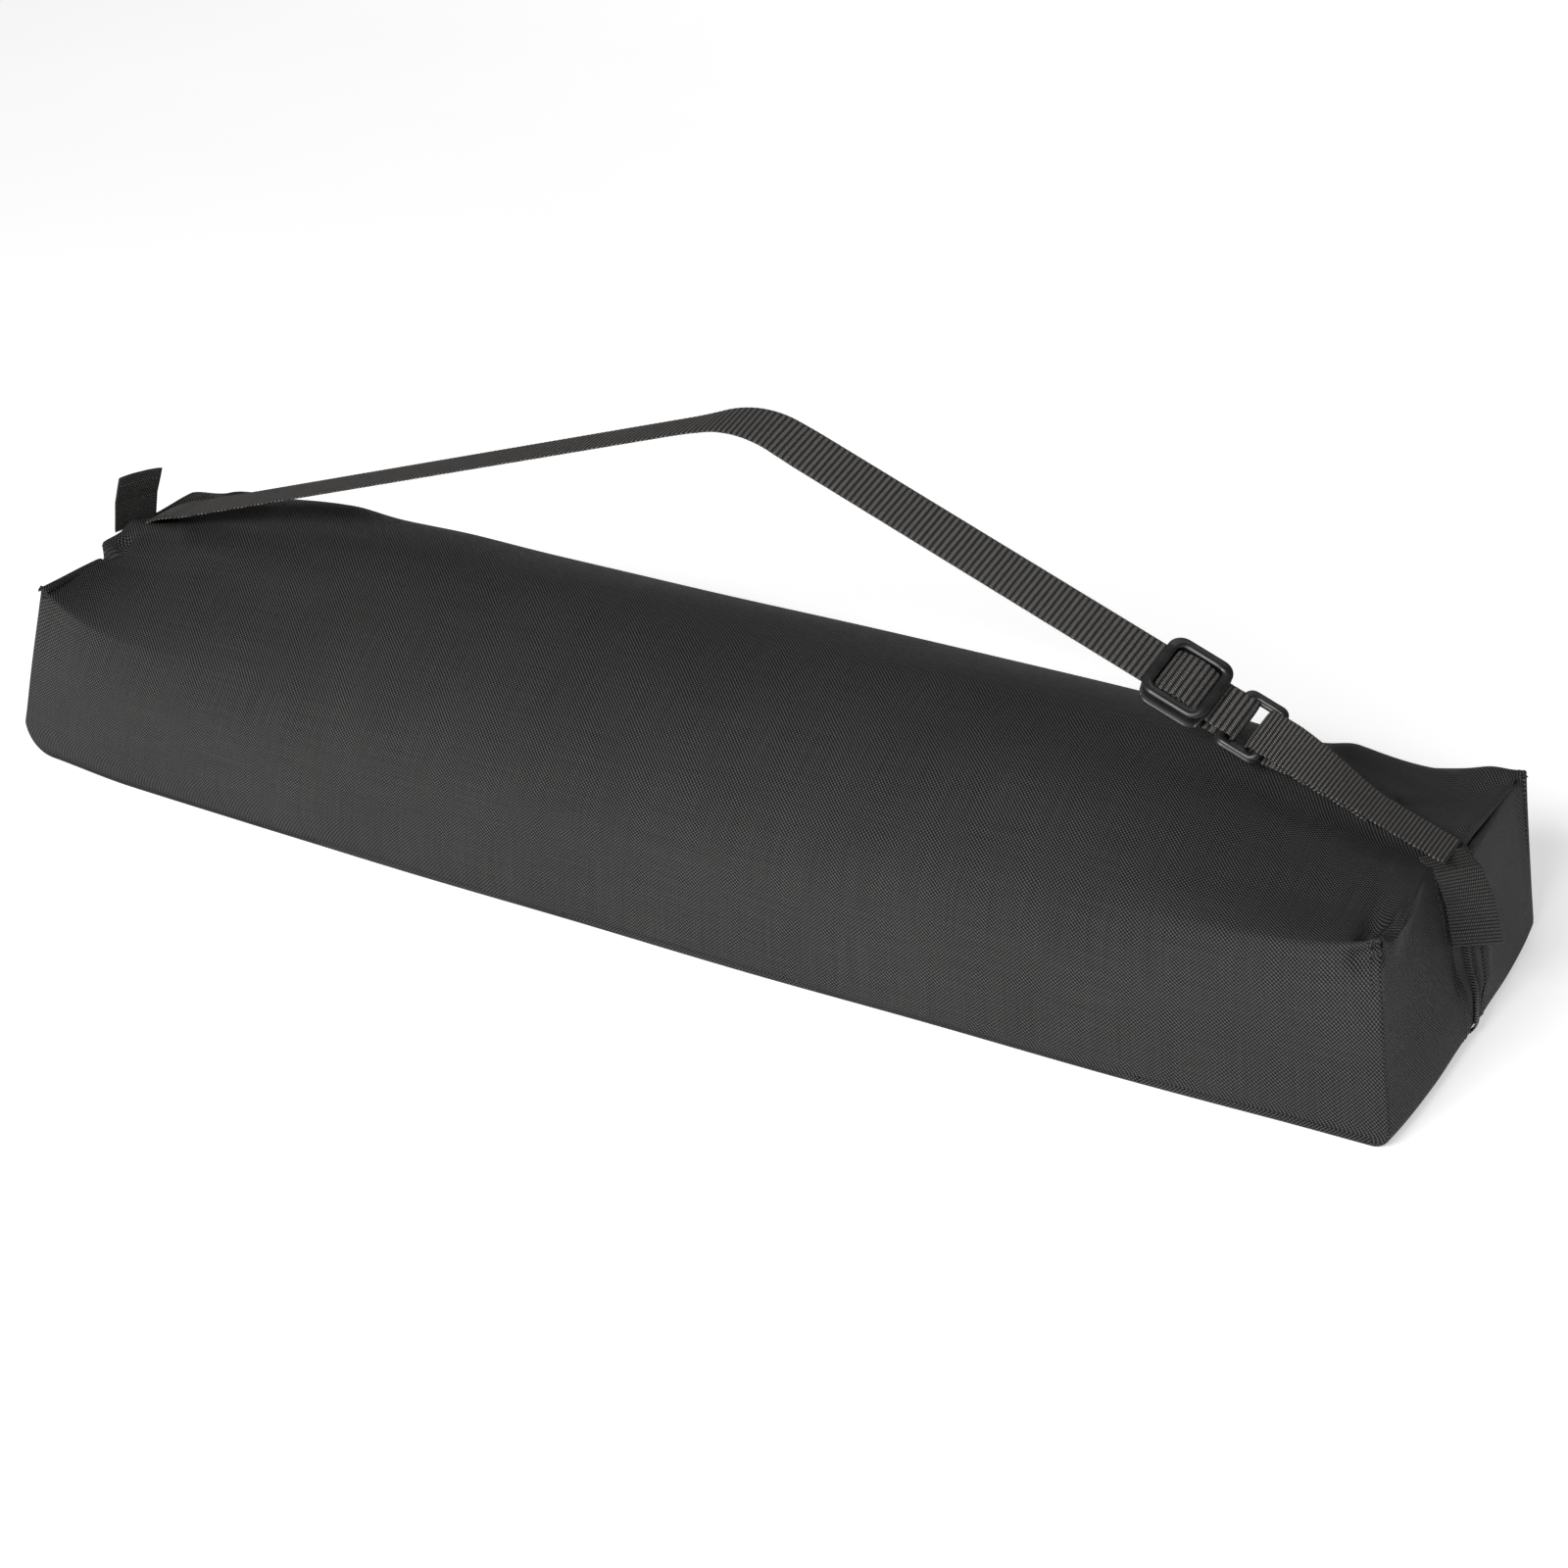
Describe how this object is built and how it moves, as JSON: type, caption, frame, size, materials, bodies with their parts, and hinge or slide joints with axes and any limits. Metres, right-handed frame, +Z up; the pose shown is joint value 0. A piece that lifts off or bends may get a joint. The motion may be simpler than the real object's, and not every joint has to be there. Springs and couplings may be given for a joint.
{
  "type": "sling bag for rolled drawings",
  "caption": "Long soft zip-up sling bag for rolled drawings, boxed ends, end tabs, adjustable webbing shoulder strap.",
  "frame": {"origin": "middle of the underside, on the floor", "axes": "+X along the bag towards the buckle end, +Y across it away from the front, +Z up"},
  "size_m": [0.8183, 0.215, 0.2419],
  "materials": {
    "bag_fabric": "woven polyester oxford, coated inside, matt black",
    "binding_tape": "thin woven binding tape",
    "zip_tape": "close-woven zip tape",
    "zip_coil": "nylon coil",
    "zip_metal": "black lacquered zinc",
    "webbing": "ribbed polypropylene webbing",
    "buckle_plastic": "satin moulded acetal"
  },
  "bodies": {
    "shell": {"wrap_panel": "bag_fabric", "end_binding_left": "binding_tape", "end_binding_right": "binding_tape", "long_binding_front": "binding_tape", "long_binding_back": "binding_tape", "gusset_end_left_front": "bag_fabric", "gusset_end_left_back": "bag_fabric", "gusset_end_right_front": "bag_fabric", "gusset_end_right_back": "bag_fabric", "zip_tape_left_front": "zip_tape", "zip_tape_left_back": "zip_tape", "zip_tape_right_front": "zip_tape", "zip_tape_right_back": "zip_tape", "zip_coil_left_front": "zip_coil", "zip_coil_left_back": "zip_coil", "zip_coil_right_front": "zip_coil", "zip_coil_right_back": "zip_coil", "zip_stop_left": "zip_metal", "zip_stop_right": "zip_metal", "strap_root_left": "webbing", "strap_root_right": "webbing"},
    "front_flap": {"bottom_flap_front": "bag_fabric", "zip_tape_bottom_front": "zip_tape", "zip_coil_bottom_front": "zip_coil"},
    "back_flap": {"bottom_flap_back": "bag_fabric", "zip_tape_bottom_back": "zip_tape", "zip_coil_bottom_back": "zip_coil"},
    "slider": {"zip_slider": "zip_metal"},
    "pull": {"zip_pull": "zip_metal"},
    "left_tab": {"tab_left": "webbing"},
    "right_tab": {"tab_right": "webbing"},
    "sling": {"sling_strap": "webbing", "strap_return": "webbing", "anchor_strap": "webbing", "ring": "buckle_plastic"},
    "adjuster": {"triglide": "buckle_plastic", "strap_end_loop": "webbing"}
  },
  "joints": [
    {"name": "flap_front_hinge", "type": "hinge", "parent": "shell", "child": "front_flap", "pos_m": [0, -0.1049, 0.00075], "axis": [-1, 0, 0], "range_deg": [0, 90]},
    {"name": "flap_back_hinge", "type": "hinge", "parent": "shell", "child": "back_flap", "pos_m": [0, 0.1049, 0.00075], "axis": [1, 0, 0], "range_deg": [0, 90]},
    {"name": "zip_slide", "type": "slide", "parent": "shell", "child": "slider", "axis": [1, 0, 0], "range_m": [0, 0.726]},
    {"name": "pull_hinge", "type": "hinge", "parent": "slider", "child": "pull", "pos_m": [-0.36, 0, 0.0039], "axis": [0, -1, 0], "range_deg": [0, 180]},
    {"name": "tab_left_fold", "type": "hinge", "parent": "shell", "child": "left_tab", "pos_m": [-0.3893, 0, 0.1099], "axis": [0, -1, 0], "range_deg": [0, 120]},
    {"name": "tab_right_fold", "type": "hinge", "parent": "shell", "child": "right_tab", "pos_m": [0.3862, 0, 0.0975], "axis": [0, -1, 0], "range_deg": [0, 110]},
    {"name": "sling_swing", "type": "hinge", "parent": "shell", "child": "sling", "pos_m": [-0.3885, 0, 0.1075], "axis": [0.9999, 0, -0.0142], "range_deg": [-25, 25]},
    {"name": "adjuster_slide", "type": "slide", "parent": "sling", "child": "adjuster", "axis": [-0.9336, 0, 0.3584], "range_m": [0, 0.15], "deforming": ["strap_return"]}
  ]
}
